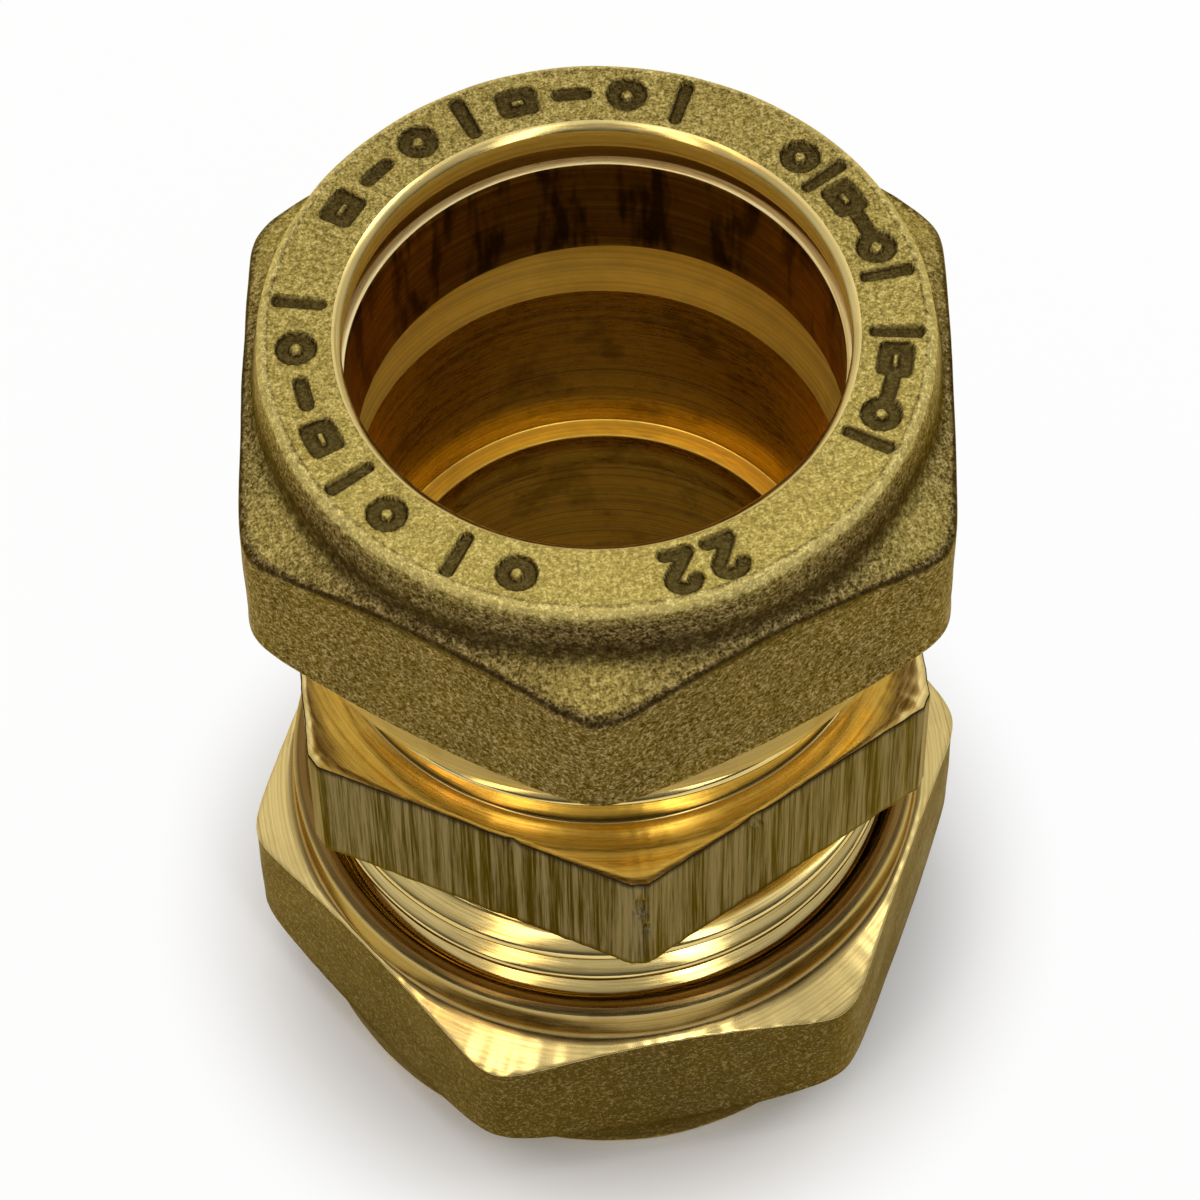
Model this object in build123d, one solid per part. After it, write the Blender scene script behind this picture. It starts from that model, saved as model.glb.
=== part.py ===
from build123d import *
import os
from math import cos, radians, sin, tan

# Straight compression coupling for round tube, standing on its lower nut.
# Millimetres. +Z runs along the tube axis, and Z = 0 is the lower nut's closed end face.

# Tube and the fits around it
tube_diameter = 22.0
socket_clearance = 0.10        # radial, tube in the body's sockets
olive_bore_clearance = 0.05    # radial, tube in an olive
nut_bore_clearance = 0.15      # radial, tube in a nut's closed end
seat_clearance = 0.03          # radial, olive in the mouth of a body's seat
cavity_clearance = 0.50        # radial, olive in the nut's own thread

# Thread, shown plain: the body at its crest, the nut at its root
thread_diameter = 28.0
thread_clearance = 0.08        # radial, between body and nut

# Coupling body
body_flats = 28.8              # across the hexagon's flats
body_hex_height = 7.3
body_corner_break = 0.45       # flat ground off each corner, measured along the hexagon's side
undercut_diameter = 26.0
undercut_length = 2.8          # run-out groove between hexagon and thread
stop_diameter = 20.2           # opening through the tube stop
stop_thickness = 2.4
socket_depth = 10.4            # cylindrical part of each socket
seat_angle = 28.0              # degrees from the axis, conical mouth that the olive is pressed into
thread_lead_in = 1.0           # chamfer at the body's ends

# Nut
nut_height = 14.4
nut_flats = 31.4
nut_corner_radius = 3.0
nut_tip_radius = 0.6           # rounding of the corners seen from the side, at the closed end
collar_top_diameter = 29.7     # round boss on the closed end
collar_base_diameter = 30.5
collar_height = 3.2
collar_edge_radius = 0.5
collar_blend_radius = 0.8
land_angle = 26.0              # degrees, fall of the six corner lands below the boss
bore_ring_width = 0.40         # turned ring round the bore's edge
bore_ring_depth = 0.30
bore_length = 1.4              # closed end, down to the inner cone
inner_cone_angle = 45.0        # degrees from the axis
thread_bore_length = 6.8       # from the mouth
skirt_diameter = 30.6          # turned skirt at the mouth
skirt_height = 2.3
skirt_blend_radius = 0.6
skirt_edge_chamfer = 0.3
mouth_cone_angle = 26.0        # degrees, chamfer that cuts the hexagon's corners
mouth_clearance = 0.32         # radial recess in front of the nut's thread
mouth_recess_depth = 0.35

# Olive
olive_length = 6.2
olive_wall = 1.40              # at its thickest
olive_end_wall = 0.45
olive_taper_length = 1.6
olive_nut_gap = 0.15           # between the upper olive and the nut's inner cone, along the axis
olive_seat_gap = 0.06          # between the lower olive and the body's seat, along the axis
olive_lean = 2.0               # degrees, the upper olive stands askew in the nut
olive_offset = 0.14            # and off the axis

# Where the pieces stand
upper_mouth_gap = 5.8          # from the upper nut's mouth to the body's hexagon
lower_mouth_gap = 6.7          # the lower nut is screwed on less far
upper_nut_turn = -6.0          # degrees about Z, with the body's hexagon at 0
lower_nut_turn = -25.0

# Worked out from the sizes above
tube_radius = tube_diameter / 2
socket_radius = tube_radius + socket_clearance
nut_bore_radius = tube_radius + nut_bore_clearance
olive_bore_radius = tube_radius + olive_bore_clearance
olive_end_radius = olive_bore_radius + olive_end_wall
olive_radius = olive_bore_radius + olive_wall
thread_radius = thread_diameter / 2
nut_thread_radius = thread_radius + thread_clearance
cavity_radius = olive_radius + cavity_clearance
seat_mouth_radius = olive_radius + seat_clearance
seat_depth = (seat_mouth_radius - socket_radius) / tan(radians(seat_angle))
body_length = stop_thickness + 2 * (socket_depth + seat_depth)
total_height = body_hex_height + lower_mouth_gap + upper_mouth_gap + 2 * nut_height
body_base = nut_height + lower_mouth_gap + (body_hex_height - body_length) / 2


def turned(points, radii=None):
    """A solid of revolution about Z from a closed outline of (radius, height) points."""
    outline = [(radius, 0, height) for radius, height in points]
    radii = radii or [0] * len(points)
    return revolve(make_face(FilletPolyline(*outline, radius=radii, close=True)), Axis.Z)


def hexagon(flats, height):
    """An upright hexagonal prism on Z = 0 with corners towards +Y and -Y."""
    return extrude(RegularPolygon(flats / 2, 6, major_radius=False, rotation=30), height)


def make_body():
    """The body stands on Z = 0 with its hexagon at mid-height."""
    hex_base = (body_length - body_hex_height) / 2
    prism = hexagon(body_flats, body_hex_height)
    prism = chamfer(prism.edges().filter_by(Axis.Z), body_corner_break)
    half = body_length / 2
    undercut_end = body_hex_height / 2 + undercut_length
    spindle = turned([
        (0, -half),
        (thread_radius - thread_lead_in, -half),
        (thread_radius, thread_lead_in - half),
        (thread_radius, -undercut_end),
        (undercut_diameter / 2, -undercut_end),
        (undercut_diameter / 2, undercut_end),
        (thread_radius, undercut_end),
        (thread_radius, half - thread_lead_in),
        (thread_radius - thread_lead_in, half),
        (0, half),
    ])
    passage = turned([
        (0, -half),
        (seat_mouth_radius, -half),
        (socket_radius, seat_depth - half),
        (socket_radius, -stop_thickness / 2),
        (stop_diameter / 2, -stop_thickness / 2),
        (stop_diameter / 2, stop_thickness / 2),
        (socket_radius, stop_thickness / 2),
        (socket_radius, half - seat_depth),
        (seat_mouth_radius, half),
        (0, half),
    ])
    return Pos(0, 0, hex_base) * prism + Pos(0, 0, half) * (spindle - passage) - Pos(0, 0, half) * passage


def make_nut():
    """The nut stands on its mouth at Z = 0, closed end up."""
    prism = hexagon(nut_flats, nut_height)
    prism = fillet(prism.edges().filter_by(Axis.Z), nut_corner_radius)
    collar_base = nut_height - collar_height
    side = cos(radians(30))
    corner_reach = nut_flats / 2 / side - nut_corner_radius * (1 / side - 1)
    land_fall = (corner_reach - collar_base_diameter / 2) * tan(radians(land_angle))
    cone_rise = (corner_reach - skirt_diameter / 2) * tan(radians(mouth_cone_angle))
    envelope = turned(
        [
            (0, 0),
            (skirt_diameter / 2 - skirt_edge_chamfer, 0),
            (skirt_diameter / 2, skirt_edge_chamfer),
            (skirt_diameter / 2, skirt_height),
            (corner_reach, skirt_height + cone_rise),
            (corner_reach, collar_base - land_fall),
            (collar_base_diameter / 2, collar_base),
            (collar_top_diameter / 2, nut_height),
            (0, nut_height),
        ],
        [0, 0, 0, skirt_blend_radius, 0, nut_tip_radius, collar_blend_radius, collar_edge_radius, 0],
    )
    cone_height = (cavity_radius - nut_bore_radius) / tan(radians(inner_cone_angle))
    bore_end = nut_height - bore_length
    recess_radius = nut_thread_radius + mouth_clearance
    hollow = turned([
        (0, 0),
        (recess_radius, 0),
        (recess_radius, mouth_recess_depth),
        (nut_thread_radius, mouth_recess_depth + mouth_clearance),
        (nut_thread_radius, thread_bore_length),
        (cavity_radius, thread_bore_length),
        (cavity_radius, bore_end - cone_height),
        (nut_bore_radius, bore_end),
        (nut_bore_radius, nut_height - bore_ring_depth),
        (nut_bore_radius + bore_ring_width, nut_height),
        (0, nut_height),
    ])
    return (prism & envelope) - hollow


def make_olive():
    """The olive stands on Z = 0, barrel-shaped outside with a plain bore."""
    return turned([
        (olive_bore_radius, 0),
        (olive_end_radius, 0),
        (olive_radius, olive_taper_length),
        (olive_radius, olive_length - olive_taper_length),
        (olive_end_radius, olive_length),
        (olive_bore_radius, olive_length),
    ])


def upper_olive_place():
    """Up against the upper nut's inner cone, leaning and off the axis."""
    # The end's edge meets the cone where the cone is as wide as that edge swings out.
    swing = olive_end_radius + olive_offset
    cone_depth = (swing - nut_bore_radius) / tan(radians(inner_cone_angle))
    lean_rise = olive_end_radius * sin(radians(olive_lean))
    top = total_height - bore_length - cone_depth - lean_rise - olive_nut_gap
    centre = top - olive_length / 2
    return Pos(0, -olive_offset, centre) * Rot(0, -olive_lean, 0) * Pos(0, 0, -olive_length / 2)


def lower_olive_place():
    """Seated in the body's lower cone, touching where the olive is widest."""
    contact_depth = (seat_mouth_radius - olive_radius) / tan(radians(seat_angle))
    top = body_base + contact_depth + olive_taper_length - olive_seat_gap
    return Pos(0, 0, top - olive_length)


nut = make_nut()
olive = make_olive()
flipped = Pos(0, 0, nut_height) * Rot(180, 0, 0)
pieces = {
    "coupling_body": Pos(0, 0, body_base) * make_body(),
    "upper_nut": Pos(0, 0, total_height - nut_height) * Rot(0, 0, upper_nut_turn) * nut,
    "lower_nut": Rot(0, 0, lower_nut_turn) * flipped * nut,
    "upper_olive": upper_olive_place() * olive,
    "lower_olive": lower_olive_place() * olive,
}

os.makedirs("parts", exist_ok=True)
for name, piece in pieces.items():
    export_step(piece, f"parts/{name}.step")
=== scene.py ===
from math import cos, pi, radians, sin, tan

import bpy
import numpy as np
from mathutils import Matrix, Vector, noise


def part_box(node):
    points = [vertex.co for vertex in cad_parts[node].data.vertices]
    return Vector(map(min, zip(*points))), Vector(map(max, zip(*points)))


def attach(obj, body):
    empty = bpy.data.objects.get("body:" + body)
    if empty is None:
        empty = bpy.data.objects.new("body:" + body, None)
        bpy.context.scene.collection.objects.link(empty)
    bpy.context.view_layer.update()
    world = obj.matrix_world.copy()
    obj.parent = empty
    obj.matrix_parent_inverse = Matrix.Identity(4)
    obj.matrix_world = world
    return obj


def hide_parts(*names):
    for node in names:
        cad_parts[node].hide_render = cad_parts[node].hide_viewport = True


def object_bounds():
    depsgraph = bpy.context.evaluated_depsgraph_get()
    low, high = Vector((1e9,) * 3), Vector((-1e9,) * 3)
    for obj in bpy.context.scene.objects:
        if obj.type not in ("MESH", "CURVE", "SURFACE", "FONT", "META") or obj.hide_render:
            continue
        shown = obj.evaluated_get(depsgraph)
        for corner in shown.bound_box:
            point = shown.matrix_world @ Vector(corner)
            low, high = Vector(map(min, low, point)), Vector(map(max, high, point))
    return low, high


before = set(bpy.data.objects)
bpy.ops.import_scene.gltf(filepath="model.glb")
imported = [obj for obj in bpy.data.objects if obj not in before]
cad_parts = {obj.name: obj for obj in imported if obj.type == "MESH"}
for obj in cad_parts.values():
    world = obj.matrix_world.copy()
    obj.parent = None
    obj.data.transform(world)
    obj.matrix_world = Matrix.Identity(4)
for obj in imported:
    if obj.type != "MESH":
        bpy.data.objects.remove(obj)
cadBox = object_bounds()
mm = 0.001  # lengths below are in millimetres unless a line says otherwise
totalHeight = cadBox[1].z / mm
print("frame loaded, coupling is", round(totalHeight, 2), "mm high")


# Shapes are rings of points round the tube's axis

ringReach = 15               # about the radius of the nuts' outside
dentRim = 1.3                # how far a dent reaches past its own width

mesher = dict(
    mostOfStraight=0.47,     # share of a straight that a softened corner may take
    fineAbove=0.3,           # softening that gets the most rows
    coarseBelow=0.05,        # softening that gets the fewest
)


def vertex(radius, height, softening, rows, finish, paintedShade=0.0):
    # One corner of an outline, with the rows, finish and painted shade of the straight after it
    return dict(radius=radius, height=height, softening=softening, rows=rows, finish=finish, paintedShade=paintedShade)


def softenedRows(corners, columns):
    # Rows for a closed outline whose sizes may vary round the axis, and the name of each row's corner
    points = []
    for each in corners.values():
        point = np.empty((columns, 2))
        point[:, 0] = each["radius"]
        point[:, 1] = each["height"]
        points.append(point)
    arcs = []
    for index, each in enumerate(corners.values()):
        here = points[index]
        toBefore = points[index - 1] - here
        toAfter = points[(index + 1) % len(points)] - here
        lengthBefore = np.linalg.norm(toBefore, axis=1)
        lengthAfter = np.linalg.norm(toAfter, axis=1)
        toBefore /= lengthBefore[:, None]
        toAfter /= lengthAfter[:, None]
        halfGap = np.arccos(np.clip(np.sum(toBefore * toAfter, axis=1), -1, 1)) / 2
        mostReach = mesher["mostOfStraight"] * np.minimum(lengthBefore, lengthAfter)
        reach = np.minimum(each["softening"] / np.tan(halfGap), mostReach)
        start = here + toBefore * reach[:, None]
        end = here + toAfter * reach[:, None]
        pull = np.sin(halfGap)[:, None]
        widest = np.max(each["softening"])
        steps = 4 if widest > mesher["fineAbove"] else 2 if widest > mesher["coarseBelow"] else 1
        arc = []
        for step in range(steps + 1):
            t = step / steps
            fromStart, fromHere, fromEnd = (1 - t) ** 2, 2 * t * (1 - t) * pull, t ** 2
            total = fromStart + fromHere + fromEnd
            arc.append((fromStart * start + fromHere * here + fromEnd * end) / total)
        arcs.append(arc)
    rows, spans = [], []
    for index, name in enumerate(corners):
        extra = corners[name]["rows"]
        nextStart = arcs[(index + 1) % len(arcs)][0]
        lastPoint = arcs[index][-1]
        straight = [lastPoint + (nextStart - lastPoint) * (k + 1) / (extra + 1) for k in range(extra)]
        rows += arcs[index] + straight
        spans += [name] * (len(arcs[index]) + extra)
    rows = np.array(rows)
    return rows[:, :, 0], rows[:, :, 1], np.array(spans)


def nearPlace(radius, height, placeRadius, placeHeight, width):
    # 1 at a place on the outline, falling to 0 about two widths away
    distance = np.hypot(radius - placeRadius, height - placeHeight)
    return np.exp(-(distance / width) ** 2)


def nearCorner(radius, height, each, width):
    return nearPlace(radius, height, each["radius"], each["height"], width)


def ringMesh(name, radius, height, angles, corners, spans, paints, place):
    # A closed mesh: the outline's rows run round the wall, the columns run round the axis
    rowCount, columnCount = radius.shape
    x = radius * np.cos(angles)
    y = radius * np.sin(angles)
    points = np.stack([x, y, height], axis=-1).reshape(-1, 3)
    points = points @ np.array(place.to_3x3()).T + np.array(place.translation)
    index = np.arange(rowCount * columnCount).reshape(rowCount, columnCount)
    right = np.roll(index, -1, axis=1)
    faces = np.stack([index, np.roll(index, -1, axis=0), np.roll(right, -1, axis=0), right], axis=-1)
    mesh = bpy.data.meshes.new(name)
    mesh.from_pydata((points * mm).tolist(), [], faces.reshape(-1, 4).tolist())
    finishes = []
    for each in corners.values():
        if each["finish"] not in finishes:
            finishes.append(each["finish"])
            mesh.materials.append(each["finish"])
    rowFinish = [finishes.index(corners[span]["finish"]) for span in spans]
    mesh.polygons.foreach_set("material_index", np.repeat(rowFinish, columnCount).astype(np.int32))
    mesh.polygons.foreach_set("use_smooth", np.ones(rowCount * columnCount, dtype=bool))
    for paintName, values in paints.items():
        layer = mesh.attributes.new(paintName, "FLOAT", "POINT")
        layer.data.foreach_set("value", values.astype(np.float32).ravel())
    mesh.update()
    made = bpy.data.objects.new(name, mesh)
    bpy.context.scene.collection.objects.link(made)
    made.modifiers.new("evenNormals", "WEIGHTED_NORMAL")
    return made


def hexagonRadius(angles, cornerAngle, sideDistances, roundness):
    # Distance from the axis to a hexagon whose six sides may stand at different distances
    facings = []
    for side, distance in enumerate(sideDistances):
        facings.append(np.maximum(np.cos(angles - radians(cornerAngle + 30 + 60 * side)), 0) / distance)
    nearest = np.max(facings, axis=0)
    return (np.sum((facings / nearest) ** roundness, axis=0) ** (-1 / roundness)) / nearest


def waves(angles, height, size, seed):
    # Smooth noise between -1 and 1 over rings of points
    values = np.empty(height.shape)
    for row in range(height.shape[0]):
        for column, angle in enumerate(angles):
            turned = cos(angle) * ringReach / size, sin(angle) * ringReach / size
            values[row, column] = noise.noise(Vector((*turned, height[row, column] / size + seed)))
    return values


def raggedRing(angles, fineness, seed):
    # Smooth noise between -1 and 1 round one ring
    return np.array([noise.noise(Vector((cos(a) * fineness, sin(a) * fineness, seed))) for a in angles])


def nicked(radius, height, angles, nicks):
    # Small dents, each with an angle in degrees, a height, a width, a tallness and a depth
    dented = radius.copy()
    for angle, level, width, tall, depth in nicks:
        turn = np.mod(angles - radians(angle) + pi, 2 * pi) - pi
        away = np.hypot(turn * radius / width, (height - level) / tall)
        dented -= depth * np.clip(dentRim - away, 0, 1)
    return dented


thread = dict(
    pitch=2.0,
    crest=14.0,
    root=12.95,
    crestWidth=0.34,
    rootWidth=0.16,
    phase=0.486,        # turns, so that a crest comes where the tool left it
    fade=0.20,          # over which the thread runs out at its ends
    nutGap=0.08,        # radial, between the body's crest and the nut
    flankGap=0.25,      # radial, on the flanks
    rounding=0.35,      # share of the flank's shape that is rounded off
)


def threadRadius(angles, height, low, high):
    # Right-handed thread about the axis between two heights, measured from the table
    turn = np.mod(height / thread["pitch"] - angles / (2 * pi) + thread["phase"], 1)
    fromCrest = np.abs(turn - 0.5) * thread["pitch"]
    flank = (thread["pitch"] - thread["crestWidth"] - thread["rootWidth"]) / 2
    depth = np.clip((fromCrest - thread["crestWidth"] / 2) / flank, 0, 1)
    rounded = depth * depth * (3 - 2 * depth)
    depth = rounded * thread["rounding"] + depth * (1 - thread["rounding"])
    shape = thread["crest"] - depth * (thread["crest"] - thread["root"])
    fade = np.clip(np.minimum(height - low, high - height) / thread["fade"], 0, 1)
    return shape, fade


# Shader groups, each built once and placed in the finishes below

def newGroup(name, inputs, outputs):
    group = bpy.data.node_groups.new(name, "ShaderNodeTree")
    for label, value in inputs.items():
        kind = "NodeSocketColor" if isinstance(value, tuple) else "NodeSocketFloat"
        socket = group.interface.new_socket(label, in_out="INPUT", socket_type=kind)
        socket.default_value = value
    for label, kind in outputs.items():
        group.interface.new_socket(label, in_out="OUTPUT", socket_type=kind)
    return group, group.nodes.new("NodeGroupInput").outputs, group.nodes.new("NodeGroupOutput").inputs


def addNode(tree, kind, sockets=None, **settings):
    made = tree.nodes.new(kind)
    for setting, value in settings.items():
        setattr(made, setting, value)
    for socket, value in (sockets or {}).items():
        if isinstance(value, bpy.types.NodeSocket):
            tree.links.new(value, made.inputs[socket])
        else:
            made.inputs[socket].default_value = value
    return made


def calc(tree, operation, first, second=0.0, third=0.0, clamp=False):
    sockets = {0: first, 1: second}
    if operation == "MULTIPLY_ADD":
        sockets[2] = third
    return addNode(tree, "ShaderNodeMath", sockets, operation=operation, use_clamp=clamp).outputs[0]


def remap(tree, value, low, high, toLow=0.0, toHigh=1.0):
    sockets = {"Value": value, "From Min": low, "From Max": high, "To Min": toLow, "To Max": toHigh}
    return addNode(tree, "ShaderNodeMapRange", sockets, interpolation_type="SMOOTHSTEP").outputs["Result"]


def mixColours(tree, factor, first, second):
    return addNode(tree, "ShaderNodeMix", {0: factor, 6: first, 7: second}, data_type="RGBA").outputs[2]


def millimetres(tree):
    # Object coordinates in millimetres
    place = addNode(tree, "ShaderNodeTexCoord").outputs["Object"]
    return addNode(tree, "ShaderNodeVectorMath", {0: place, 3: 1 / mm}, operation="SCALE").outputs[0]


def noiseAt(tree, vector, scale, detail=3.0, roughness=0.6):
    sockets = {"Vector": vector, "Scale": scale, "Detail": detail, "Roughness": roughness}
    return addNode(tree, "ShaderNodeTexNoise", sockets).outputs["Fac"]


groupLook = dict(
    # noise scales are per millimetre; pairs are the values where a mask starts and is full
    waverScale=0.12,         # turned lines: slow wander
    chatterAround=9.0,       # tool chatter, by the angle round the axis
    chatterScale=1.3,
    coarseShare=0.55,        # forged grain: coarse noise against grit
    gritShare=0.45,
    gritFineness=2.1,        # grit against the coarse grain
    pits=(0.50, 0.41),
    tips=(0.51, 0.60),
    patchScale=0.35,
    bandFineness=0.22,       # drawn streaks: broad bands against fine streaks
    stainEdge=(0.08, 0.10),  # tarnish: softness below and above its edge
    speckFineness=6.0,
    specks=(0.64, 0.72),
    raggedScale=2.4,         # painted highlight and shade along edges
    rimHighlight=(0.35, 0.85),
    foldShade=(0.25, 0.95),
)


def buildTurnedLines():
    group, given, result = newGroup(
        "turnedLines",
        {"Fineness": 6.0, "Waver": 0.3},
        {"Lines": "NodeSocketFloat", "Chatter": "NodeSocketFloat"},
    )
    place = millimetres(group)
    parts = addNode(group, "ShaderNodeSeparateXYZ", {0: place}).outputs
    squared = calc(group, "MULTIPLY", parts["X"], parts["X"])
    radius = calc(group, "SQRT", calc(group, "MULTIPLY_ADD", parts["Y"], parts["Y"], squared))
    slow = calc(group, "MULTIPLY", noiseAt(group, place, groupLook["waverScale"], 2.0), given["Waver"])
    across = calc(group, "MULTIPLY", radius, given["Fineness"])
    along = calc(group, "MULTIPLY", parts["Z"], given["Fineness"])
    lined = addNode(group, "ShaderNodeCombineXYZ", {0: across, 1: along, 2: slow}).outputs[0]
    group.links.new(noiseAt(group, lined, 1.0, 3.0, 0.65), result["Lines"])
    angle = calc(group, "ARCTAN2", parts["Y"], parts["X"])
    around = calc(group, "MULTIPLY", angle, groupLook["chatterAround"])
    chattered = addNode(group, "ShaderNodeCombineXYZ", {0: around, 1: along, 2: across}).outputs[0]
    group.links.new(noiseAt(group, chattered, groupLook["chatterScale"], 2.0), result["Chatter"])
    return group


def buildForgedGrain():
    group, given, result = newGroup(
        "forgedGrain",
        {"Grain": 0.2},
        {"Height": "NodeSocketFloat", "Pits": "NodeSocketFloat", "Tips": "NodeSocketFloat",
         "Patches": "NodeSocketFloat"},
    )
    place = millimetres(group)
    perGrain = calc(group, "DIVIDE", 1.0, given["Grain"])
    coarse = noiseAt(group, place, perGrain, 4.0, 0.68)
    grit = noiseAt(group, place, calc(group, "MULTIPLY", perGrain, groupLook["gritFineness"]), 2.0)
    coarse = calc(group, "MULTIPLY", coarse, groupLook["coarseShare"])
    height = calc(group, "MULTIPLY_ADD", grit, groupLook["gritShare"], coarse)
    group.links.new(height, result["Height"])
    group.links.new(remap(group, height, *groupLook["pits"]), result["Pits"])
    group.links.new(remap(group, height, *groupLook["tips"]), result["Tips"])
    group.links.new(noiseAt(group, place, groupLook["patchScale"]), result["Patches"])
    return group


def buildDrawnStreaks():
    group, given, result = newGroup(
        "drawnStreaks",
        {"Fineness": 5.0, "Stretch": 30.0},
        {"Streaks": "NodeSocketFloat", "Bands": "NodeSocketFloat"},
    )
    place = millimetres(group)
    parts = addNode(group, "ShaderNodeSeparateXYZ", {0: place}).outputs
    along = calc(group, "DIVIDE", parts["Z"], given["Stretch"])
    drawn = addNode(group, "ShaderNodeCombineXYZ", {0: parts["X"], 1: parts["Y"], 2: along}).outputs[0]
    group.links.new(noiseAt(group, drawn, given["Fineness"], 3.0, 0.7), result["Streaks"])
    broad = calc(group, "MULTIPLY", given["Fineness"], groupLook["bandFineness"])
    group.links.new(noiseAt(group, drawn, broad, 2.0, 0.5), result["Bands"])
    return group


def buildTarnish():
    group, given, result = newGroup(
        "tarnish",
        {"Size": 4.0, "Spread": 0.5},
        {"Stain": "NodeSocketFloat", "Spots": "NodeSocketFloat"},
    )
    place = millimetres(group)
    perSize = calc(group, "DIVIDE", 1.0, given["Size"])
    cloud = noiseAt(group, place, perSize, 4.0)
    edge = calc(group, "SUBTRACT", 1.0, given["Spread"])
    below, above = groupLook["stainEdge"]
    stain = remap(group, cloud, calc(group, "SUBTRACT", edge, below), calc(group, "ADD", edge, above))
    group.links.new(stain, result["Stain"])
    fine = calc(group, "MULTIPLY", perSize, groupLook["speckFineness"])
    specks = noiseAt(group, place, fine, 3.0, 0.55)
    group.links.new(remap(group, specks, *groupLook["specks"]), result["Spots"])
    return group


# Painted highlight along a rim and painted shade in creases, from the edge and crease attributes
def buildEdgeHighlightAndShade():
    group, given, result = newGroup(
        "edgeHighlightAndShade",
        {"Raggedness": 0.5},
        {"RimHighlight": "NodeSocketFloat", "FoldShade": "NodeSocketFloat"},
    )
    place = millimetres(group)
    ragged = calc(group, "SUBTRACT", noiseAt(group, place, groupLook["raggedScale"]), 0.5)
    ragged = calc(group, "MULTIPLY", ragged, given["Raggedness"])
    edge = addNode(group, "ShaderNodeAttribute", attribute_name="edge").outputs["Fac"]
    creaseShade = addNode(group, "ShaderNodeAttribute", attribute_name="creaseShade").outputs["Fac"]
    group.links.new(remap(group, calc(group, "ADD", edge, ragged), *groupLook["rimHighlight"]), result["RimHighlight"])
    group.links.new(remap(group, calc(group, "ADD", creaseShade, ragged), *groupLook["foldShade"]), result["FoldShade"])
    return group


turnedLines = buildTurnedLines()
forgedGrain = buildForgedGrain()
drawnStreaks = buildDrawnStreaks()
tarnish = buildTarnish()
edgeHighlightAndShade = buildEdgeHighlightAndShade()
print("shader groups built")


# Finishes

warmEdge = (1.0, 0.80, 0.42, 1)          # brass keeps its colour at a grazing angle


def newFinish(name, **shader):
    finish = bpy.data.materials.new(name)
    finish.use_nodes = True
    surface = finish.node_tree.nodes["Principled BSDF"]
    for socket, value in shader.items():
        surface.inputs[socket.replace("_", " ")].default_value = value
    return finish, finish.node_tree, surface


def useGroup(tree, group, **given):
    made = tree.nodes.new("ShaderNodeGroup")
    made.node_tree = group
    for socket, value in given.items():
        made.inputs[socket].default_value = value
    return made.outputs


def bumpInto(tree, surface, height, strength, depth):
    bump = addNode(tree, "ShaderNodeBump", {"Height": height, "Strength": strength, "Distance": depth * mm})
    tree.links.new(bump.outputs["Normal"], surface.inputs["Normal"])


forgedLook = dict(
    scale=(0.150, 0.105, 0.034, 1),      # skin left by the forging, on the flats
    # a darker skin for the lower nut
    darkerScale=(0.085, 0.056, 0.019, 1),
    cleanLitSkin=(0.46, 0.355, 0.088, 1),     # cleaner skin, also painted lighter where the end face takes the light
    # dark of the grain's pits, also the colour of the painted shade
    sootAndShade=(0.032, 0.018, 0.005, 1),
    # bright metal: the grain's tips on clean skin, and the painted highlight on the rim
    bright=(0.92, 0.76, 0.28, 1),
    fibre=(0.50, 0.38, 0.18, 1),         # paler grain on the flats
    cleanLitPits=0.42,      # how dark the pits are where the skin is cleaner and painted lighter
    cleanLitTips=0.56,      # how bright the grain's tips are there
    tipShare=0.7,        # tips against pits where the scale is on
    rimHighlight=(0.42, 0.5),    # painted highlight along the collar's rim, and how much more on the grain's tips
    shadeMix=(0.85, 0.95),   # painted shade in folds and in pressed marks
    patchiness=0.3,      # of the boundary between scale and the cleaner skin that is partly painted light
    patches=(0.3, 0.7),
    roughness=(0.34, 0.50),
    raggedness=1.1,
    grain=0.25,
    bump=0.9,
    bumpDepth=0.15,
)


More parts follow.
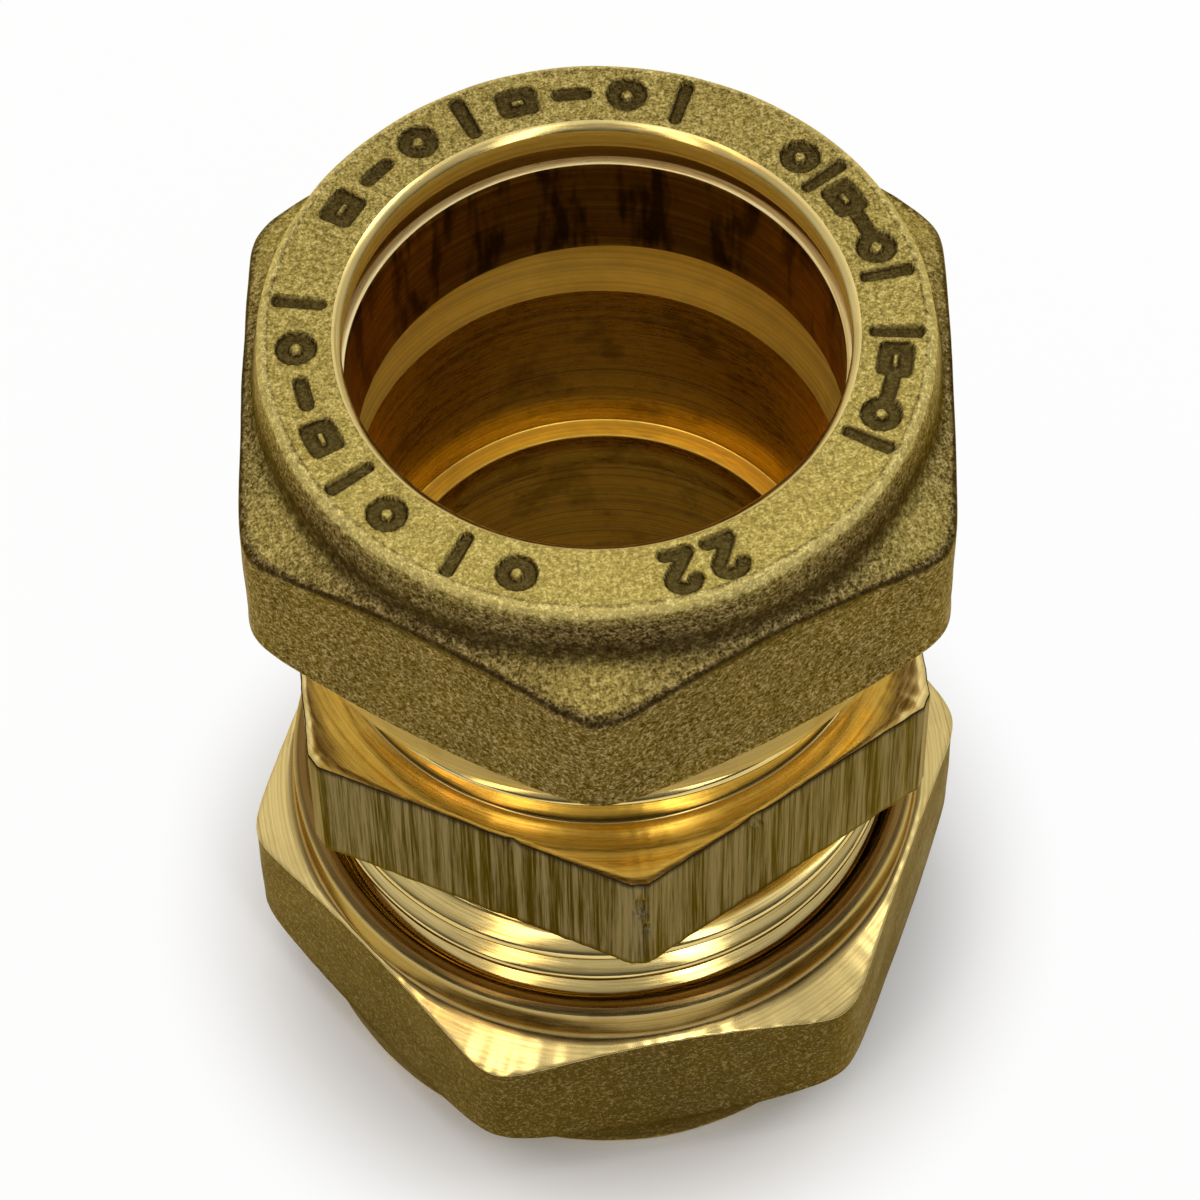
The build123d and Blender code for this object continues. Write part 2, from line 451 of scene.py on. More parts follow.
def forgedFinish(name, scale, contrast):
    tipContrast = contrast * forgedLook["tipShare"]
    finish, tree, surface = newFinish(name, Metallic=1.0, Specular_Tint=warmEdge)
    grain = useGroup(tree, forgedGrain, Grain=forgedLook["grain"])
    edgeLightShade = useGroup(tree, edgeHighlightAndShade, Raggedness=forgedLook["raggedness"])
    # cleaner skin, partly painted light: the end face, rim, lands and one side lighter, the collar's side
    # darker
    cleanAndLit = addNode(tree, "ShaderNodeAttribute", attribute_name="cleanAndLit").outputs["Fac"]
    markShade = addNode(tree, "ShaderNodeAttribute", attribute_name="markShade").outputs["Fac"]
    patches = calc(tree, "SUBTRACT", grain["Patches"], 0.5)
    patchy = calc(tree, "MULTIPLY_ADD", patches, forgedLook["patchiness"], cleanAndLit, clamp=True)
    colour = mixColours(tree, patchy, scale, forgedLook["cleanLitSkin"])
    pitShare = calc(tree, "MULTIPLY_ADD", cleanAndLit, forgedLook["cleanLitPits"] - contrast, contrast)
    colour = mixColours(tree, calc(tree, "MULTIPLY", grain["Pits"], pitShare), colour, forgedLook["sootAndShade"])
    paler = mixColours(tree, cleanAndLit, forgedLook["fibre"], forgedLook["bright"])
    tipShare = calc(tree, "MULTIPLY_ADD", cleanAndLit, forgedLook["cleanLitTips"] - tipContrast, tipContrast)
    colour = mixColours(tree, calc(tree, "MULTIPLY", grain["Tips"], tipShare), colour, paler)
    # painted highlight along the collar's rim
    everywhere, onTips = forgedLook["rimHighlight"]
    rimHighlight = calc(tree, "MULTIPLY", edgeLightShade["RimHighlight"], calc(tree, "MULTIPLY_ADD", grain["Tips"], onTips, everywhere))
    colour = mixColours(tree, rimHighlight, colour, forgedLook["bright"])
    # painted shade in the folds and in the pressed marks
    inFolds, inMarks = forgedLook["shadeMix"]
    shadeMix = calc(tree, "MAXIMUM", calc(tree, "MULTIPLY", edgeLightShade["FoldShade"], inFolds),
                calc(tree, "MULTIPLY", markShade, inMarks))
    colour = mixColours(tree, shadeMix, colour, forgedLook["sootAndShade"])
    tree.links.new(colour, surface.inputs["Base Color"])
    roughness = remap(tree, grain["Patches"], *forgedLook["patches"], *forgedLook["roughness"])
    tree.links.new(roughness, surface.inputs["Roughness"])
    bumpInto(tree, surface, grain["Height"], forgedLook["bump"], forgedLook["bumpDepth"])
    return finish


turnedLook = dict(
    brass=(0.83, 0.655, 0.265, 1),
    golden=(0.95, 0.64, 0.10, 1),        # inside, where the light comes off more brass
    deep=(0.52, 0.34, 0.080, 1),
    # stains; also the colour of the painted shade on turned metal
    stain=(0.15, 0.080, 0.020, 1),
    tar=(0.030, 0.016, 0.005, 1),
    shadedInside=(0.26, 0.14, 0.026, 1),       # inside of an olive, painted darker as shade
    pale=(0.94, 0.80, 0.42, 1),          # the olive's outside, painted paler for the light on its up-facing end
    waver=0.5,
    stainSize=3.5,
    stainSpread=0.42,
    speckShare=0.6,          # specks against stains
    raggedness=0.5,
    foldShadeShare=0.5,
    lines=(0.2, 0.6),
    runShape=dict(Fineness=0.55, Stretch=5.0),    # dark runs down the inside of an olive
    runs=(0.46, 0.62),
    chatter=(0.3, 0.7),
    roughnessRange=(0.8, 1.3),
    chatterShare=0.5,        # of the chatter against the lines in the relief
    bump=0.7,
)


def turnedFinish(name, fineness, stained, roughness, lineDepth, base="brass", metallic=1.0, runs=0.0):
    finish, tree, surface = newFinish(name, Metallic=metallic, Specular_Tint=warmEdge)
    lines = useGroup(tree, turnedLines, Fineness=fineness, Waver=turnedLook["waver"])
    spots = useGroup(tree, tarnish, Size=turnedLook["stainSize"], Spread=turnedLook["stainSpread"])
    edgeLightShade = useGroup(tree, edgeHighlightAndShade, Raggedness=turnedLook["raggedness"])
    lined = remap(tree, lines["Lines"], *turnedLook["lines"])
    colour = mixColours(tree, lined, turnedLook["deep"], turnedLook[base])
    for spot, share in ("Stain", stained), ("Spots", stained * turnedLook["speckShare"]):
        colour = mixColours(tree, calc(tree, "MULTIPLY", spots[spot], share), colour, turnedLook["stain"])
    # painted shade, set per stretch of the outline, and painted shade in the creases
    paintedShade = addNode(tree, "ShaderNodeAttribute", attribute_name="paintedShade").outputs["Fac"]
    shadeMix = calc(tree, "MAXIMUM", calc(tree, "MULTIPLY", edgeLightShade["FoldShade"], turnedLook["foldShadeShare"]), paintedShade)
    colour = mixColours(tree, shadeMix, colour, turnedLook["stain"])
    if runs > 0:
        run = useGroup(tree, drawnStreaks, **turnedLook["runShape"])["Streaks"]
        dark = remap(tree, run, *turnedLook["runs"], 0.0, runs)
        colour = mixColours(tree, dark, colour, turnedLook["tar"])
    tree.links.new(colour, surface.inputs["Base Color"])
    smoothest, roughest = (roughness * share for share in turnedLook["roughnessRange"])
    rough = remap(tree, lines["Chatter"], *turnedLook["chatter"], smoothest, roughest)
    tree.links.new(rough, surface.inputs["Roughness"])
    height = calc(tree, "MULTIPLY_ADD", lines["Chatter"], turnedLook["chatterShare"], lines["Lines"])
    bumpInto(tree, surface, height, turnedLook["bump"], lineDepth)
    return finish


drawnLook = dict(
    dark=(0.022, 0.014, 0.006, 1),
    light=(0.210, 0.163, 0.082, 1),
    roughness=0.38,
    fineness=8.0,
    stretch=45.0,
    raggedness=0.6,
    bandShare=0.8,
    streakShare=0.9,
    shades=(0.66, 1.02),
    foldShadeShare=0.9,
    bump=0.8,
    streakDepth=0.03,
)


def drawnFinish():
    roughness = drawnLook["roughness"]
    finish, tree, surface = newFinish("drawnBar", Metallic=1.0, Roughness=roughness, Specular_Tint=warmEdge)
    streaks = useGroup(tree, drawnStreaks, Fineness=drawnLook["fineness"], Stretch=drawnLook["stretch"])
    edgeLightShade = useGroup(tree, edgeHighlightAndShade, Raggedness=drawnLook["raggedness"])
    fine = calc(tree, "MULTIPLY", streaks["Streaks"], drawnLook["streakShare"])
    shade = calc(tree, "MULTIPLY_ADD", streaks["Bands"], drawnLook["bandShare"], fine)
    shade = remap(tree, shade, *drawnLook["shades"])
    colour = mixColours(tree, shade, drawnLook["dark"], drawnLook["light"])
    # painted shade along the hexagon's edges
    foldShade = calc(tree, "MULTIPLY", edgeLightShade["FoldShade"], drawnLook["foldShadeShare"])
    colour = mixColours(tree, foldShade, colour, drawnLook["dark"])
    tree.links.new(colour, surface.inputs["Base Color"])
    bumpInto(tree, surface, streaks["Streaks"], drawnLook["bump"], drawnLook["streakDepth"])
    return finish


forgedSkin = forgedFinish("forgedSkin", forgedLook["scale"], 0.95)
darkerSkin = forgedFinish("darkerForgedSkin", forgedLook["darkerScale"], 0.50)
turnedBrass = turnedFinish("turnedBrass", fineness=7.0, stained=0.10, roughness=0.19, lineDepth=0.0016)
threadBrass = turnedFinish("threadBrass", fineness=9.0, stained=0.10, roughness=0.15, lineDepth=0.0020)
mouthBrass = turnedFinish("mouthBrass", fineness=7.0, stained=0.25, roughness=0.26, lineDepth=0.003)
seatBrass = turnedFinish("seatBrass", fineness=7.0, stained=0.12, roughness=0.42, lineDepth=0.002,
                         base="golden", metallic=0.7)
boreBrass = turnedFinish("boreBrass", fineness=6.0, stained=0.45, roughness=0.28, lineDepth=0.003,
                         base="golden")
lipBrass = turnedFinish("lipBrass", fineness=6.0, stained=0.10, roughness=0.50, lineDepth=0.002,
                        base="golden", metallic=0.6)
oliveBrass = turnedFinish("oliveBrass", fineness=8.0, stained=0.05, roughness=0.34, lineDepth=0.001,
                          base="pale", metallic=0.6)
oliveInside = turnedFinish("oliveInside", fineness=5.0, stained=0.7, roughness=0.34, lineDepth=0.003,
                           base="shadedInside", runs=0.85)
drawnBar = drawnFinish()
print("finishes made")


# Marks pressed into a nut's end face: the tube size, and plain bars, rings and frames

marks = dict(
    radius=13.08,
    height=1.80,
    width=1.20,
    stroke=0.46,
    depth=0.28,
    wall=0.14,
    reach=1.5,           # across, beyond which a mark presses nothing
    numeralAngles=(15.8, 24.8),
    # each run of plain marks goes from one angle to another, with so many in it
    runs=((63, 89, 5), (103, 136, 6), (163, 239, 8), (263, 317, 6), (333, 345, 2)),
)


def numeralTwo():
    bend = [(0.42 * cos(radians(a)), 0.24 + 0.26 * sin(radians(a))) for a in range(165, -46, -30)]
    return bend + [(-0.45, -0.5), (0.46, -0.5)]


def strokeDistance(across, outward, line):
    # Distance from each point to a line of straight strokes
    nearest = np.full(across.shape, np.inf)
    for (startX, startY), (endX, endY) in zip(line, line[1:]):
        runX, runY = endX - startX, endY - startY
        along = ((across - startX) * runX + (outward - startY) * runY) / (runX ** 2 + runY ** 2)
        along = np.clip(along, 0, 1)
        awayX = across - startX - along * runX
        awayY = outward - startY - along * runY
        nearest = np.minimum(nearest, np.hypot(awayX, awayY))
    return nearest


def pressedMarks(radius, angles):
    # How deep the marks go, 0 to 1, on rings of points of the end face; angles from the nut's front corner
    width, tall = marks["width"] / 2, marks["height"] / 2
    numeral = [(x * 2 * width, y * 2 * tall) for x, y in numeralTwo()]
    bar = [(0, -tall), (0, tall)]
    dash = [(-width, 0), (width, 0)]
    side = tall / 2
    box = [(-width, -side), (width, -side), (width, side), (-width, side), (-width, -side)]
    ring = [(width * cos(radians(a)), width * sin(radians(a))) for a in range(0, 361, 30)]
    pattern = bar, ring, dash, box
    shapes = [(angle, numeral) for angle in marks["numeralAngles"]]
    for start, end, count in marks["runs"]:
        places = np.linspace(start, end, count)
        shapes += [(angle, pattern[k % len(pattern)]) for k, angle in enumerate(places)]
    pressed = np.zeros(radius.shape)
    for angle, line in shapes:
        turn = np.mod(angles - radians(angle - 90) + pi, 2 * pi) - pi
        across = np.broadcast_to(-turn * marks["radius"], radius.shape)
        distance = strokeDistance(across, radius - marks["radius"], line)
        wall = 1 - np.clip((distance - marks["stroke"] / 2) / marks["wall"], 0, 1)
        smooth = wall * wall * (3 - 2 * wall)
        pressed = np.maximum(pressed, np.where(np.abs(across) < marks["reach"], smooth, 0))
    return pressed


# Nuts

nut = dict(
    flats=31.4,
    roundness=26.0,          # how square the hexagon's corners are
    flatEdge=0.10,           # rounding of the flats' upper edge
    cornerEdge=0.45,         # how much more rounding that edge has at a corner
    cornerReach=2.0,         # beyond the flats, where a corner counts in full
    collarTop=29.7,
    collarBase=30.5,
    collarHeight=3.2,
    collarRounding=0.5,
    landAngle=26.0,
    landRounding=0.8,
    bore=22.3,
    ringWidth=0.40,
    ringDepth=0.30,
    boreLength=1.4,
    cavity=25.9,
    threadLength=6.8,
    skirt=30.6,
    skirtHeight=2.3,
    skirtRounding=0.6,
    skirtChamfer=0.3,
    mouthAngle=26.0,
    mouthGap=0.32,
    recessDepth=0.35,
    crisp=0.02,              # softening of the inner edges
    columns=792,
)

# Wear and hollows of the nuts' skin, with its painted highlight, painted shade and painted light
nutWearAndLight = dict(
    raggedFineness=22,
    raggedLand=0.06,         # unevenness of the lands' edge
    raggedCone=0.05,
    sideHollows=0.09,        # unevenness of the skin, always inwards
    faceHollows=0.06,
    hollowSize=2.6,
    rim=0.50,                # width of the painted highlight along the collar's rim
    cleanLitRim=0.45,
    fold=0.24,               # width of the painted shade along the flats' edge
    footIn=0.15,             # where the painted shade at the collar's foot is thickest
    footUp=0.7,
    footWidth=1.0,
    footShare=0.85,
    cleanLitFace=1.0,           # share of the forging scale that is off, also painted light: the end face lighter than the sides
    # the collar's side keeps its scale and stays dark as painted shade
    cleanLitCollar=0.03,
    cleanLitLand=0.12,
    cleanLitCorner=0.60,        # how much more is off, and painted lighter, at a corner of the hexagon
    cleanLitAround=(0.82, 0.22),    # painted light: on average, and how much lighter one side is than the other
    markWalls=2.4,           # painted shadow in the marks
    markFloor=0.88,
)


def nutOutline(angles, tall, reach, cornered, skinFinish, seed):
    ragged = raggedRing(angles, nutWearAndLight["raggedFineness"], seed)
    collar = tall - nut["collarHeight"]
    landTop = nut["collarBase"] / 2
    skirt = nut["skirt"] / 2
    landFall = (reach - landTop) * tan(radians(nut["landAngle"]))
    coneRise = (reach - skirt) * tan(radians(nut["mouthAngle"]))
    landEdge = collar - landFall + ragged * nutWearAndLight["raggedLand"]
    coneEdge = nut["skirtHeight"] + coneRise - ragged * nutWearAndLight["raggedCone"]
    bore = nut["bore"] / 2
    cavity = nut["cavity"] / 2
    threadOuter = thread["crest"] + thread["nutGap"]
    recess = threadOuter + nut["mouthGap"]
    threadLow = nut["recessDepth"] + nut["mouthGap"]
    boreEnd = tall - nut["boreLength"]
    crisp = nut["crisp"]
    # forged skin outside, turned metal on the mouth's cone and skirt, thread and bore inside; the last number
    # on each turned line is its painted shade, most on the mouth face and in the recess
    return dict(
        face=vertex(bore + nut["ringWidth"], tall, 0.05, 30, skinFinish),
        collarSide=vertex(nut["collarTop"] / 2, tall, nut["collarRounding"], 3, skinFinish),
        land=vertex(landTop, collar, nut["landRounding"], 5, skinFinish),
        flats=vertex(reach, landEdge, nut["flatEdge"] + nut["cornerEdge"] * cornered, 9, skinFinish),
        mouthCone=vertex(reach, coneEdge, 0.06, 6, turnedBrass, 0.10),
        skirtSide=vertex(skirt, nut["skirtHeight"], nut["skirtRounding"], 2, mouthBrass, 0.65),
        skirtEdge=vertex(skirt, nut["skirtChamfer"], 0.05, 0, mouthBrass, 0.50),
        mouthFace=vertex(skirt - nut["skirtChamfer"], 0, 0.04, 1, mouthBrass, 0.95),
        recessWall=vertex(recess, 0, crisp, 0, boreBrass, 0.95),
        recessCone=vertex(recess, nut["recessDepth"], crisp, 0, boreBrass, 0.80),
        thread=vertex(threadOuter, threadLow, crisp, 20, threadBrass, 0.30),
        threadEnd=vertex(threadOuter, nut["threadLength"], crisp, 0, threadBrass, 0.30),
        cavityWall=vertex(cavity, nut["threadLength"], crisp, 1, lipBrass, 0.10),
        innerCone=vertex(cavity, boreEnd - (cavity - bore), crisp, 1, lipBrass),
        boreWall=vertex(bore, boreEnd, 0.03, 1, lipBrass),
        boreRing=vertex(bore, tall - nut["ringDepth"], crisp, 0, turnedBrass),
    )


def nutPaints(corners, spans, radius, height, angles, cornered, pressed):
    # Where the skin gets a painted highlight on its rim, painted shade in its creases and marks, and cleaner
    # skin that is partly painted light; and how much painted shade the turned metal gets
    foot = corners["land"]
    # painted highlight along the collar's rim
    rimSheen = nearCorner(radius, height, corners["collarSide"], nutWearAndLight["rim"])
    # painted shade at the collar's foot and along the flats' edge
    footRadius = foot["radius"] - nutWearAndLight["footIn"]
    footHeight = foot["height"] + nutWearAndLight["footUp"]
    atFoot = nearPlace(radius, height, footRadius, footHeight, nutWearAndLight["footWidth"])
    inFold = nearCorner(radius, height, corners["flats"], nutWearAndLight["fold"])
    creaseShade = np.maximum(atFoot * nutWearAndLight["footShare"], inFold)
    # cleaner skin that is partly painted light: the end face lighter than the sides, one side lighter than
    # the other
    cleanAndLit = np.zeros(radius.shape)
    cleanAndLit[spans == "face"] = nutWearAndLight["cleanLitFace"]
    cleanAndLit[spans == "collarSide"] = nutWearAndLight["cleanLitCollar"]
    cleanAndLit = np.maximum(cleanAndLit, nearCorner(radius, height, corners["collarSide"], nutWearAndLight["cleanLitRim"]))
    average, more = nutWearAndLight["cleanLitAround"]
    cleanAndLit = cleanAndLit * (average - more * np.sin(angles))
    cleanAndLit[spans == "land"] = nutWearAndLight["cleanLitLand"] + nutWearAndLight["cleanLitCorner"] * cornered
    paintedShade = np.repeat([[corners[span]["paintedShade"]] for span in spans], len(angles), axis=1)
    # painted shadow in the pressed marks, darkest on their walls
    markShade = np.clip(nutWearAndLight["markWalls"] * pressed * (1 - pressed) + nutWearAndLight["markFloor"] * pressed, 0, 1)
    return dict(edge=rimSheen, creaseShade=creaseShade, cleanAndLit=cleanAndLit, markShade=markShade, paintedShade=paintedShade)


def buildNut(name, skinFinish, cornerAngle, sideDistances, closedUp, seed):
    low, high = (corner.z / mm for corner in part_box(name))
    tall = high - low
    angles = np.arange(nut["columns"]) * 2 * pi / nut["columns"]
    reach = hexagonRadius(angles, cornerAngle, sideDistances, nut["roundness"])
    cornered = np.clip((reach - nut["flats"] / 2) / nut["cornerReach"], 0, 1)    # 1 at a corner
    corners = nutOutline(angles, tall, reach, cornered, skinFinish, seed)
    radius, height, spans = softenedRows(corners, nut["columns"])
    pressed = np.zeros(radius.shape)
    face = spans == "face"
    pressed[face] = pressedMarks(radius[face], angles - radians(cornerAngle + 90))
    paints = nutPaints(corners, spans, radius, height, angles, cornered, pressed)
    height = height - pressed * marks["depth"]

    skin = np.isin(spans, ["face", "collarSide", "land", "flats"])
    sides = skin & ~face
    hollows = np.zeros(radius.shape)
    hollows[skin] = (1 + waves(angles, height[skin], nutWearAndLight["hollowSize"], seed)) / 2
    radius[sides] -= hollows[sides] * nutWearAndLight["sideHollows"]
    height[face] -= hollows[face] * nutWearAndLight["faceHollows"]

    inThread = spans == "thread"
    threadOuter = corners["thread"]["radius"]
    if closedUp:
        place = Matrix.Translation((0, 0, low))
        world = low + height[inThread]
        around = angles
    else:
        place = Matrix.Translation((0, 0, high)) @ Matrix.Rotation(pi, 4, "X")
        world = high - height[inThread]
        around = -angles
    shape, fade = threadRadius(around, world, world.min(), world.max())
    shape = np.minimum(shape + thread["flankGap"], threadOuter)
    radius[inThread] = threadOuter + (shape - threadOuter) * fade

    made = ringMesh(name + "Look", radius, height, angles, corners, spans, paints, place)
    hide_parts(name)
    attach(made, name)
    print(name, "built with", len(made.data.polygons), "faces")


upperNut = dict(
    cornerAngle=-96.0,       # degrees
    sides=[nut["flats"] / 2] * 6,
    seed=3.0,
)
buildNut("upper_nut", forgedSkin, upperNut["cornerAngle"], upperNut["sides"], True, upperNut["seed"])

lowerNut = dict(
    cornerAngle=-115.0,      # degrees
    sides=[15.77, 15.72, 15.7, 15.6, 15.65, 15.45],
    seed=11.0,
)
# made closed end up and then turned over, which mirrors its angles
buildNut("lower_nut", darkerSkin, -lowerNut["cornerAngle"], lowerNut["sides"][::-1], False, lowerNut["seed"])


# Body

body = dict(
    flats=28.8,
    hexHeight=7.3,
    cornerBreak=0.45,
    groove=26.0,
    grooveLength=2.8,
    stop=20.2,
    stopThickness=2.4,
    socket=22.2,
    seatMouth=24.96,
    seatDepth=2.595,
    grooveSlope=0.15,
    leadIn=1.0,
    squareness=400,      # of the hexagon's corners
    ragged=(0.05, 0.03), # outwards and upwards, along the hexagon's edges
    raggedFineness=30,
    raggedSeed=5.0,
    columns=396,
    crowding=0.72,       # how much closer the columns stand at the hexagon's corners
    threadRows=74,
    # width of the painted shade along these edges
    shadeMix=dict(hexTop=0.5, hexSides=0.16, hexUnderside=0.16, lowerGroove=0.5),
    # angle, height from the middle, width, tallness and depth of each dent in the hexagon's sides
    nicks=((-90, 1.6, 0.30, 0.8, 0.28), (-89, -0.4, 0.25, 0.35, 0.20), (-67, 3.3, 0.35, 0.5, 0.22),
           (-112, 3.4, 0.25, 0.4, 0.18), (30, -2.0, 0.4, 0.6, 0.25), (141, 2.4, 0.5, 0.5, 0.20)),
)


def bodyColumns():
    even = np.arange(body["columns"]) * 2 * pi / body["columns"]
    return even - body["crowding"] * np.sin(6 * (even - pi / 2)) / 6


def bodyOutline(angles, half):
    sides = hexagonRadius(angles, -90, [body["flats"] / 2] * 6, body["squareness"])
    breakDistance = body["flats"] / 2 / cos(radians(30)) - body["cornerBreak"] / 2
    breaks = hexagonRadius(angles, -60, [breakDistance] * 6, body["squareness"])
    ragged = raggedRing(angles, body["raggedFineness"], body["raggedSeed"])
    raggedOut, raggedUp = body["ragged"]
    reach = np.minimum(sides, breaks) + ragged * raggedOut
    hexHalf = body["hexHeight"] / 2
    hexEdge = hexHalf + ragged * raggedUp
    groove = body["groove"] / 2
    threadEnd = hexHalf + body["grooveLength"]
    grooveEnd = threadEnd - body["grooveSlope"]
    threadStart = thread["crest"] - body["leadIn"]
    mouth = body["seatMouth"] / 2
    socket = body["socket"] / 2
    stop = body["stop"] / 2
    stopHalf = body["stopThickness"] / 2
    seatEnd = half - body["seatDepth"]
    rows = body["threadRows"]
    return dict(
        upperEnd=vertex(mouth, half, 0.03, 0, turnedBrass),
        upperThread=vertex(threadStart, half, 0.03, rows, threadBrass),
        upperRunOut=vertex(threadStart, threadEnd, 0.03, 0, threadBrass),
        upperGroove=vertex(groove, grooveEnd, 0.08, 3, turnedBrass),
        hexTop=vertex(groove, hexHalf, 0.12, 5, turnedBrass),
        hexSides=vertex(reach, hexEdge, 0.06, 12, drawnBar),
        hexUnderside=vertex(reach, -hexEdge, 0.06, 5, turnedBrass),
        lowerGroove=vertex(groove, -hexHalf, 0.12, 3, turnedBrass),
        lowerRunOut=vertex(groove, -grooveEnd, 0.08, 0, threadBrass),
        lowerThread=vertex(threadStart, -threadEnd, 0.03, rows, threadBrass),
        lowerEnd=vertex(threadStart, -half, 0.03, 0, turnedBrass),
        lowerSeat=vertex(mouth, -half, 0.03, 2, seatBrass),
        lowerSocket=vertex(socket, -seatEnd, 0.06, 3, boreBrass),
        lowerStop=vertex(socket, -stopHalf, 0.05, 1, seatBrass),
        stopBore=vertex(stop, -stopHalf, 0.05, 1, boreBrass),
        upperStop=vertex(stop, stopHalf, 0.08, 1, seatBrass),
        upperSocket=vertex(socket, stopHalf, 0.10, 6, boreBrass),
        upperSeat=vertex(socket, seatEnd, 0.06, 3, seatBrass),
    )


def buildBody():
    low, high = (corner.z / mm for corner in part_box("coupling_body"))
    middle = (low + high) / 2
    half = (high - low) / 2
    angles = bodyColumns()
    corners = bodyOutline(angles, half)
    radius, height, spans = softenedRows(corners, body["columns"])
    # painted shade along the hexagon's edges and in the groove's corners
    creaseShade = np.zeros(radius.shape)
    for name, width in body["shadeMix"].items():
        creaseShade = np.maximum(creaseShade, nearCorner(radius, height, corners[name], width))
    for name in ("upperThread", "lowerThread"):
        inThread = spans == name
        start = thread["crest"] - body["leadIn"]
        world = middle + height[inThread]
        shape, fade = threadRadius(angles, world, world.min(), world.max())
        shape = np.minimum(shape, start + half - np.abs(height[inThread]))    # chamfered at the body's end
        radius[inThread] = start + (shape - start) * fade
    barFace = spans == "hexSides"
    radius[barFace] = nicked(radius[barFace], height[barFace], angles, body["nicks"])
    place = Matrix.Translation((0, 0, middle))
    made = ringMesh("couplingBodyLook", radius, height, angles, corners, spans, dict(creaseShade=creaseShade), place)
    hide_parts("coupling_body")
    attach(made, "coupling_body")
    print("body built with", len(made.data.polygons), "faces")


buildBody()


# Olives

olive = dict(
    length=6.2,
    bore=22.1,
    wall=1.40,
    endWall=0.45,
    taper=1.6,
    rounding=0.5,
    upperLean=2.0,      # degrees
    upperOffset=0.14,
    columns=360,
)


def buildOlive(name, place):
    angles = np.arange(olive["columns"]) * 2 * pi / olive["columns"]
    bore = olive["bore"] / 2
    end = bore + olive["endWall"]
    full = bore + olive["wall"]
    half = olive["length"] / 2
    shoulder = half - olive["taper"]
    corners = dict(
        upperTaper=vertex(end, half, 0.03, 2, oliveBrass),
        barrel=vertex(full, shoulder, olive["rounding"], 2, oliveBrass),
        lowerTaper=vertex(full, -shoulder, olive["rounding"], 2, oliveBrass),
        lowerEnd=vertex(end, -half, 0.07, 0, oliveBrass),
        boreWall=vertex(bore, -half, 0.10, 10, oliveInside),
        upperEnd=vertex(bore, half, 0.03, 0, oliveBrass),
    )
    radius, height, spans = softenedRows(corners, olive["columns"])
    made = ringMesh(name + "Look", radius, height, angles, corners, spans, {}, place)
    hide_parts(name)
    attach(made, name)


def oliveCentre(name):
    low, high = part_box(name)
    return (low.z + high.z) / 2 / mm


leaning = Matrix.Translation((0, -olive["upperOffset"], oliveCentre("upper_olive")))
leaning = leaning @ Matrix.Rotation(radians(-olive["upperLean"]), 4, "Y")
buildOlive("upper_olive", leaning)
buildOlive("lower_olive", Matrix.Translation((0, 0, oliveCentre("lower_olive"))))
print("olives built")


# Floor, light and camera

shot = dict(
    turn=-5.185,          # degrees, the camera stands this far round from the body's corner
    elevation=56.97,
    roll=-1.152,
    distance=240.2,
    aimAcross=-0.076,
    aimBelowTop=21.67,
    focal=153.15,
    sensor=36,
    nearest=0.01,         # metres
)

studio = dict(
    brightSide=(0, 0.55, 0.835),   # the room is brightest behind and above the object
    brightRange=(-0.1, 1.0),       # where it starts to brighten, and where it is brightest
    brightest=1.10,
    darkest=0.09,
    floor=(0.93, 0.93, 0.93, 1),
    floorSize=6.0,        # metres
    floorGlow=0.93,       # share of plain white, where the object's own shadow doesn't reach
    shadowInner=0.0150,   # metres
    shadowOuter=0.0240,
    lampDistance=0.5,     # metres
)

lamps = dict(
    # towards the lamp, width and height in metres, brightness, colour
    leftWarm=((-0.47, -0.20, 0.86), 0.06, 0.15, 3.2, (1.0, 0.62, 0.32)),
    leftWhite=((-0.28, -0.40, 0.87), 0.10, 0.15, 2.0, (1.0, 0.99, 0.97)),
    lowLeft=((-0.47, -0.60, 0.64), 0.08, 0.30, 3.0, (1.0, 0.80, 0.55)),
    lowRight=((0.38, -0.66, 0.64), 0.09, 0.30, 3.2, (1.0, 0.99, 0.97)),
    frontWhite=((0.23, -0.48, 0.84), 0.065, 0.14, 3.2, (1.0, 0.99, 0.97)),
    rightWhite=((0.65, 0.12, 0.75), 0.16, 0.16, 2.2, (1.0, 0.99, 0.97)),
)

camTurn = Matrix.Rotation(radians(shot["turn"]), 4, "Z")


def placeCamera():
    rise = radians(shot["elevation"])
    aim = Vector((shot["aimAcross"], 0, totalHeight - shot["aimBelowTop"]))
    spot = aim + shot["distance"] * Vector((0, -cos(rise), sin(rise)))
    level = Matrix.Translation(spot * mm) @ Matrix.Rotation(pi / 2 - rise, 4, "X")
    camera = bpy.data.objects.new("mainCamera", bpy.data.cameras.new("mainCamera"))
    camera.data.sensor_width = shot["sensor"]
    camera.data.lens = shot["focal"]
    camera.data.clip_start = shot["nearest"]
    camera.matrix_world = camTurn @ level @ Matrix.Rotation(radians(shot["roll"]), 4, "Z")
    bpy.context.scene.collection.objects.link(camera)
    bpy.context.scene.camera = camera


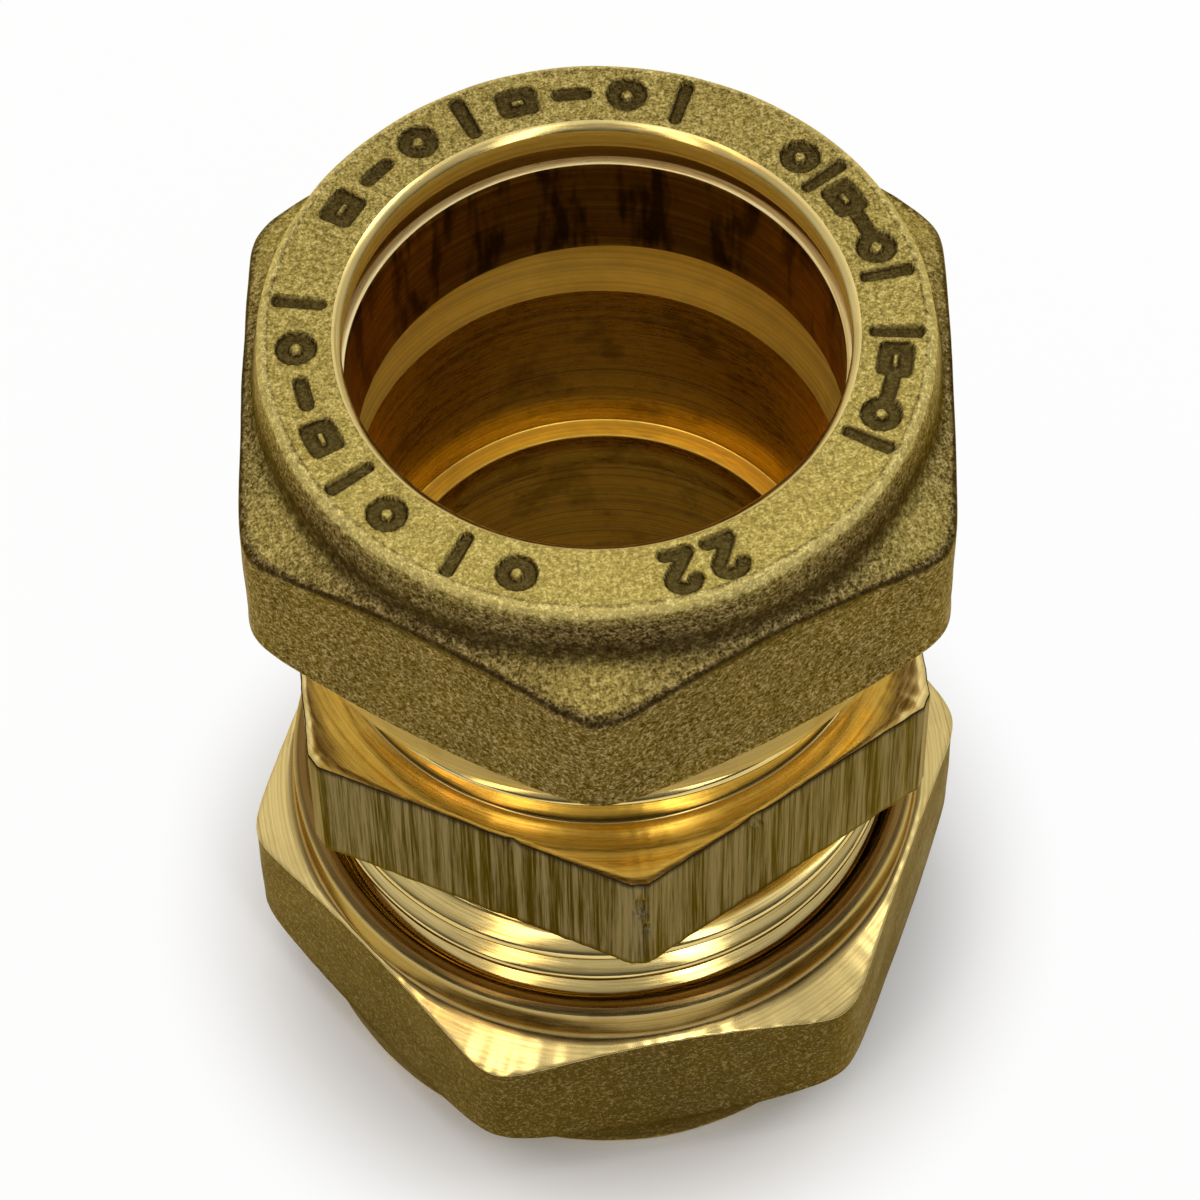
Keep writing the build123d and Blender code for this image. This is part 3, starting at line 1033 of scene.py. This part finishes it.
def placeLamps():
    for name, (towards, width, tall, brightness, colour) in lamps.items():
        lamp = bpy.data.lights.new(name, "AREA")
        lamp.shape = "RECTANGLE"
        lamp.size = width
        lamp.size_y = tall
        lamp.energy = brightness * pi * width * tall
        lamp.color = colour
        made = bpy.data.objects.new(name, lamp)
        direction = camTurn.to_3x3() @ Vector(towards).normalized()
        made.location = direction * studio["lampDistance"] + Vector((0, 0, totalHeight * mm))
        made.rotation_euler = direction.to_track_quat("Z", "Y").to_euler()
        made.visible_camera = False
        bpy.context.scene.collection.objects.link(made)


def placeFloor():
    half = studio["floorSize"] / 2
    mesh = bpy.data.meshes.new("floor")
    square = [(-half, -half, 0), (half, -half, 0), (half, half, 0), (-half, half, 0)]
    mesh.from_pydata(square, [], [(0, 1, 2, 3)])
    floor = bpy.data.objects.new("floor", mesh)
    bpy.context.scene.collection.objects.link(floor)
    finish, tree, surface = newFinish("paleFloor", Base_Color=studio["floor"], Roughness=0.9)
    spot = addNode(tree, "ShaderNodeTexCoord").outputs["Object"]
    away = addNode(tree, "ShaderNodeVectorMath", {0: spot}, operation="LENGTH").outputs["Value"]
    share = remap(tree, away, studio["shadowInner"], studio["shadowOuter"], 0.0, studio["floorGlow"])
    path = addNode(tree, "ShaderNodeLightPath").outputs
    mirrored = calc(tree, "MAXIMUM", path["Is Glossy Ray"], path["Is Transmission Ray"])
    share = calc(tree, "MULTIPLY", share, calc(tree, "MAXIMUM", path["Is Camera Ray"], mirrored))
    glow = addNode(tree, "ShaderNodeEmission", {"Color": (1, 1, 1, 1), "Strength": 1.0}).outputs[0]
    mixed = addNode(tree, "ShaderNodeMixShader", {0: share, 1: surface.outputs[0], 2: glow}).outputs[0]
    tree.links.new(mixed, tree.nodes["Material Output"].inputs["Surface"])
    mesh.materials.append(finish)


def setWorld():
    world = bpy.data.worlds.new("softRoom")
    world.use_nodes = True
    tree = world.node_tree
    outwards = addNode(tree, "ShaderNodeTexCoord").outputs["Generated"]
    pair = {0: outwards, 1: studio["brightSide"]}
    side = addNode(tree, "ShaderNodeVectorMath", pair, operation="DOT_PRODUCT").outputs["Value"]
    strength = remap(tree, side, *studio["brightRange"], studio["darkest"], studio["brightest"])
    background = tree.nodes["Background"]
    background.inputs["Color"].default_value = (1, 1, 1, 1)
    tree.links.new(strength, background.inputs["Strength"])
    bpy.context.scene.world = world


placeFloor()
placeLamps()
setWorld()
placeCamera()
bpy.context.scene.view_settings.view_transform = "Standard"
print("studio set")
